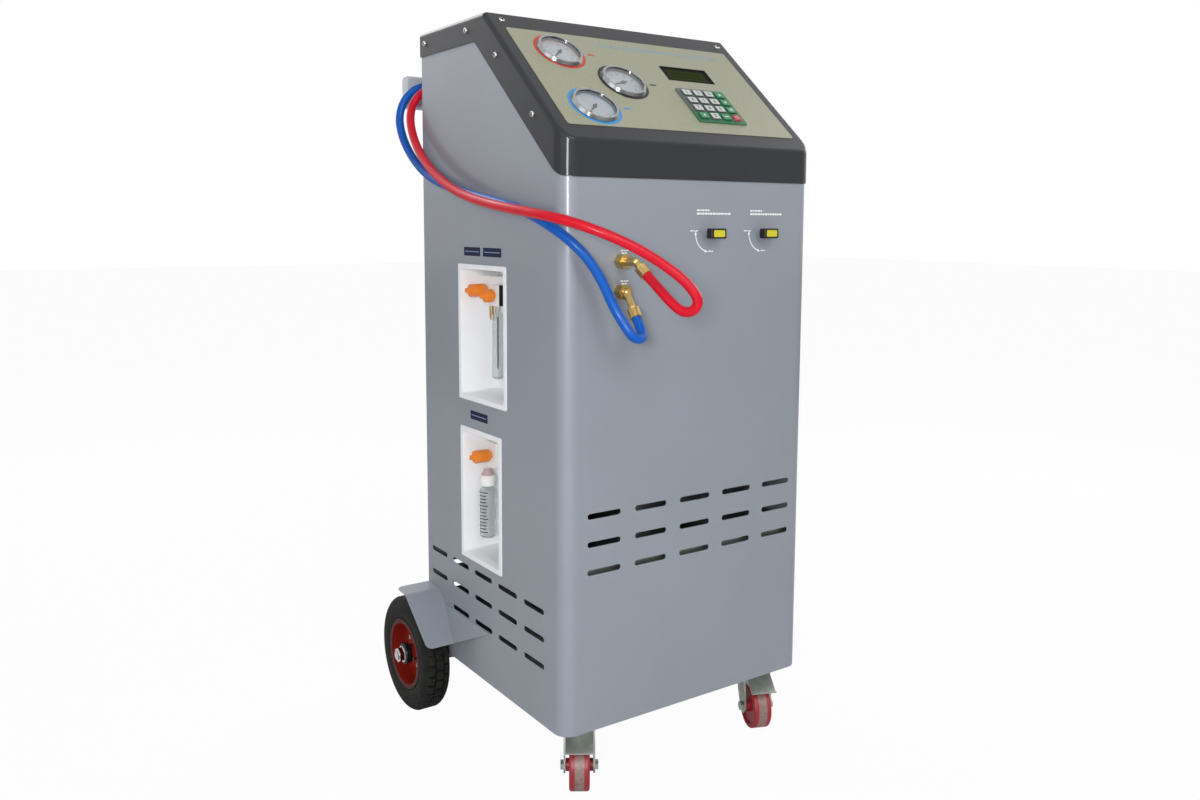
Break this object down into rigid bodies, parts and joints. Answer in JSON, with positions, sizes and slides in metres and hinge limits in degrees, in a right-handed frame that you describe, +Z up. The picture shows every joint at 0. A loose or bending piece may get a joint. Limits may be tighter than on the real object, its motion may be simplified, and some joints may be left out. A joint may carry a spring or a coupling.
{
  "type": "air conditioning recharge station",
  "caption": "Wheeled steel cabinet that recovers and recharges car air conditioning refrigerant, with a sloping gauge console, keypad, two valves and two service hoses.",
  "frame": {"origin": "floor level, under the middle of the bounding box without the hoses", "axes": "+X to the right seen from the front, -Y towards the user at the front, +Z up"},
  "size_m": [0.6346, 0.7241, 1.243],
  "materials": {
    "cabinet_paint": "satin",
    "panel_paint": "satin",
    "chassis_paint": "satin",
    "hood_paint": "textured satin",
    "overlay_film": "matte",
    "gauge_steel": "matte dial",
    "bezel_chrome": "polished",
    "gauge_glass": "clear",
    "needle_black": "matte",
    "display_glass": "gloss",
    "keypad_grey": "matte",
    "key_white": "satin",
    "key_green": "satin",
    "key_red": "satin",
    "screw_zinc": "zinc plated",
    "brass_fittings": "machined",
    "valve_black": "satin",
    "hose_red": "glossy",
    "hose_blue": "glossy",
    "coupler_steel": "satin",
    "recess_white": "satin",
    "bottle_clear": "translucent",
    "head_white": "matte",
    "coupler_orange": "satin",
    "tyre_rubber": "matte",
    "rim_paint": "gloss",
    "axle_chrome": "polished",
    "fender_paint": "satin",
    "fork_zinc": "zinc plated",
    "caster_rubber": "satin",
    "handle_grey": "satin",
    "tank_paint": "gloss",
    "shelf_zinc": "zinc plated",
    "pump_cast": "cast",
    "compressor_paint": "gloss",
    "condenser_fins": "bare",
    "fan_plastic": "matte"
  },
  "bodies": {
    "cabinet": {"base_tray": "chassis_paint", "cabinet_wrap": "cabinet_paint", "rear_panel": "panel_paint", "hood": "hood_paint", "console_overlay": "overlay_film", "gauge_cases": "gauge_steel", "gauge_bezels": "bezel_chrome", "gauge_lenses": "gauge_glass", "display_module": "display_glass", "keypad_frame": "keypad_grey", "panel_screws": "screw_zinc", "valve_manifold": "brass_fittings", "red_hose": "hose_red", "blue_hose": "hose_blue", "service_couplers": "coupler_steel", "bottle_recesses": "recess_white", "oil_bottles": "bottle_clear", "bottle_heads": "head_white", "quick_couplers": "coupler_orange", "rear_axle": "axle_chrome", "wheel_fenders": "fender_paint", "chassis_brackets": "chassis_paint", "push_handle": "handle_grey", "equipment_shelf": "shelf_zinc", "refrigerant_tank": "tank_paint", "vacuum_pump": "pump_cast", "compressor": "compressor_paint", "condenser": "condenser_fins"},
    "key_1": {"key_1": "key_white"},
    "key_2": {"key_2": "key_white"},
    "key_3": {"key_3": "key_white"},
    "key_up": {"key_up": "key_green"},
    "key_4": {"key_4": "key_white"},
    "key_5": {"key_5": "key_white"},
    "key_6": {"key_6": "key_white"},
    "key_down": {"key_down": "key_green"},
    "key_7": {"key_7": "key_white"},
    "key_8": {"key_8": "key_white"},
    "key_9": {"key_9": "key_white"},
    "key_menu": {"key_menu": "key_green"},
    "key_back": {"key_back": "key_green"},
    "key_0": {"key_0": "key_white"},
    "key_enter": {"key_enter": "key_green"},
    "key_stop": {"key_stop": "key_red"},
    "needle_high_pressure": {"needle_high_pressure": "needle_black"},
    "needle_cylinder_pressure": {"needle_cylinder_pressure": "needle_black"},
    "needle_low_pressure": {"needle_low_pressure": "needle_black"},
    "valve_handle_left": {"valve_handle_left": "valve_black"},
    "valve_handle_right": {"valve_handle_right": "valve_black"},
    "caster_fork_left": {"caster_fork_left": "fork_zinc"},
    "caster_wheel_left": {"caster_wheel_left": "caster_rubber"},
    "brake_pedal_left": {"brake_pedal_left": "fork_zinc"},
    "caster_fork_right": {"caster_fork_right": "fork_zinc"},
    "caster_wheel_right": {"caster_wheel_right": "caster_rubber"},
    "brake_pedal_right": {"brake_pedal_right": "fork_zinc"},
    "rear_wheel_left": {"tyre_left": "tyre_rubber", "rim_left": "rim_paint"},
    "rear_wheel_right": {"tyre_right": "tyre_rubber", "rim_right": "rim_paint"},
    "fan_rotor": {"fan_rotor": "fan_plastic"}
  },
  "joints": [
    {"name": "key_1_press", "type": "slide", "parent": "cabinet", "child": "key_1", "axis": [0, 0.6642, -0.7475], "range_m": [0, 0.0015], "stiffness_N_per_m": 400, "springref_m": -0.0004},
    {"name": "key_2_press", "type": "slide", "parent": "cabinet", "child": "key_2", "axis": [0, 0.6642, -0.7475], "range_m": [0, 0.0015], "stiffness_N_per_m": 400, "springref_m": -0.0004},
    {"name": "key_3_press", "type": "slide", "parent": "cabinet", "child": "key_3", "axis": [0, 0.6642, -0.7475], "range_m": [0, 0.0015], "stiffness_N_per_m": 400, "springref_m": -0.0004},
    {"name": "key_up_press", "type": "slide", "parent": "cabinet", "child": "key_up", "axis": [0, 0.6642, -0.7475], "range_m": [0, 0.0015], "stiffness_N_per_m": 400, "springref_m": -0.0004},
    {"name": "key_4_press", "type": "slide", "parent": "cabinet", "child": "key_4", "axis": [0, 0.6642, -0.7475], "range_m": [0, 0.0015], "stiffness_N_per_m": 400, "springref_m": -0.0004},
    {"name": "key_5_press", "type": "slide", "parent": "cabinet", "child": "key_5", "axis": [0, 0.6642, -0.7475], "range_m": [0, 0.0015], "stiffness_N_per_m": 400, "springref_m": -0.0004},
    {"name": "key_6_press", "type": "slide", "parent": "cabinet", "child": "key_6", "axis": [0, 0.6642, -0.7475], "range_m": [0, 0.0015], "stiffness_N_per_m": 400, "springref_m": -0.0004},
    {"name": "key_down_press", "type": "slide", "parent": "cabinet", "child": "key_down", "axis": [0, 0.6642, -0.7475], "range_m": [0, 0.0015], "stiffness_N_per_m": 400, "springref_m": -0.0004},
    {"name": "key_7_press", "type": "slide", "parent": "cabinet", "child": "key_7", "axis": [0, 0.6642, -0.7475], "range_m": [0, 0.0015], "stiffness_N_per_m": 400, "springref_m": -0.0004},
    {"name": "key_8_press", "type": "slide", "parent": "cabinet", "child": "key_8", "axis": [0, 0.6642, -0.7475], "range_m": [0, 0.0015], "stiffness_N_per_m": 400, "springref_m": -0.0004},
    {"name": "key_9_press", "type": "slide", "parent": "cabinet", "child": "key_9", "axis": [0, 0.6642, -0.7475], "range_m": [0, 0.0015], "stiffness_N_per_m": 400, "springref_m": -0.0004},
    {"name": "key_menu_press", "type": "slide", "parent": "cabinet", "child": "key_menu", "axis": [0, 0.6642, -0.7475], "range_m": [0, 0.0015], "stiffness_N_per_m": 400, "springref_m": -0.0004},
    {"name": "key_back_press", "type": "slide", "parent": "cabinet", "child": "key_back", "axis": [0, 0.6642, -0.7475], "range_m": [0, 0.0015], "stiffness_N_per_m": 400, "springref_m": -0.0004},
    {"name": "key_0_press", "type": "slide", "parent": "cabinet", "child": "key_0", "axis": [0, 0.6642, -0.7475], "range_m": [0, 0.0015], "stiffness_N_per_m": 400, "springref_m": -0.0004},
    {"name": "key_enter_press", "type": "slide", "parent": "cabinet", "child": "key_enter", "axis": [0, 0.6642, -0.7475], "range_m": [0, 0.0015], "stiffness_N_per_m": 400, "springref_m": -0.0004},
    {"name": "key_stop_press", "type": "slide", "parent": "cabinet", "child": "key_stop", "axis": [0, 0.6642, -0.7475], "range_m": [0, 0.0015], "stiffness_N_per_m": 400, "springref_m": -0.0004},
    {"name": "needle_high_pressure_sweep", "type": "hinge", "parent": "cabinet", "child": "needle_high_pressure", "pos_m": [-0.152, -0.09088, 1.17948], "axis": [0, 0.6642, -0.7475], "range_deg": [0, 270], "stiffness_Nm_per_rad": 0.002},
    {"name": "needle_cylinder_pressure_sweep", "type": "hinge", "parent": "cabinet", "child": "needle_cylinder_pressure", "pos_m": [-0.064, -0.14359, 1.13266], "axis": [0, 0.6642, -0.7475], "range_deg": [-25, 245], "stiffness_Nm_per_rad": 0.002},
    {"name": "needle_low_pressure_sweep", "type": "hinge", "parent": "cabinet", "child": "needle_low_pressure", "pos_m": [-0.156, -0.19778, 1.0845], "axis": [0, 0.6642, -0.7475], "range_deg": [0, 270], "stiffness_Nm_per_rad": 0.002},
    {"name": "valve_handle_left_turn", "type": "hinge", "parent": "cabinet", "child": "valve_handle_left", "pos_m": [0.027, -0.27221, 0.893], "axis": [0, -1, 0], "range_deg": [0, 90]},
    {"name": "valve_handle_right_turn", "type": "hinge", "parent": "cabinet", "child": "valve_handle_right", "pos_m": [0.14, -0.27221, 0.893], "axis": [0, -1, 0], "range_deg": [0, 90]},
    {"name": "caster_fork_left_swivel", "type": "hinge", "parent": "cabinet", "child": "caster_fork_left", "pos_m": [-0.17, -0.18121, 0.12], "axis": [0, 0, 1], "continuous": true},
    {"name": "caster_wheel_left_spin", "type": "hinge", "parent": "caster_fork_left", "child": "caster_wheel_left", "pos_m": [-0.18307, -0.20133, 0.04], "axis": [0.8387, -0.5446, 0], "continuous": true},
    {"name": "brake_pedal_left_press", "type": "hinge", "parent": "caster_fork_left", "child": "brake_pedal_left", "pos_m": [-0.17545, -0.18959, 0.09], "axis": [0.8387, -0.5446, 0], "range_deg": [0, 6]},
    {"name": "caster_fork_right_swivel", "type": "hinge", "parent": "cabinet", "child": "caster_fork_right", "pos_m": [0.208, -0.18121, 0.12], "axis": [0, 0, 1], "continuous": true},
    {"name": "caster_wheel_right_spin", "type": "hinge", "parent": "caster_fork_right", "child": "caster_wheel_right", "pos_m": [0.19901, -0.20346, 0.04], "axis": [0.9272, -0.3746, 0], "continuous": true},
    {"name": "brake_pedal_right_press", "type": "hinge", "parent": "caster_fork_right", "child": "brake_pedal_right", "pos_m": [0.20425, -0.19048, 0.09], "axis": [0.9272, -0.3746, 0], "range_deg": [0, 6]},
    {"name": "rear_wheel_left_spin", "type": "hinge", "parent": "cabinet", "child": "rear_wheel_left", "pos_m": [-0.278, 0.21579, 0.105], "axis": [1, 0, 0], "continuous": true},
    {"name": "rear_wheel_right_spin", "type": "hinge", "parent": "cabinet", "child": "rear_wheel_right", "pos_m": [0.278, 0.21579, 0.105], "axis": [1, 0, 0], "continuous": true},
    {"name": "fan_rotor_spin", "type": "hinge", "parent": "cabinet", "child": "fan_rotor", "pos_m": [0.182, 0.00779, 0.52], "axis": [1, 0, 0], "continuous": true}
  ]
}
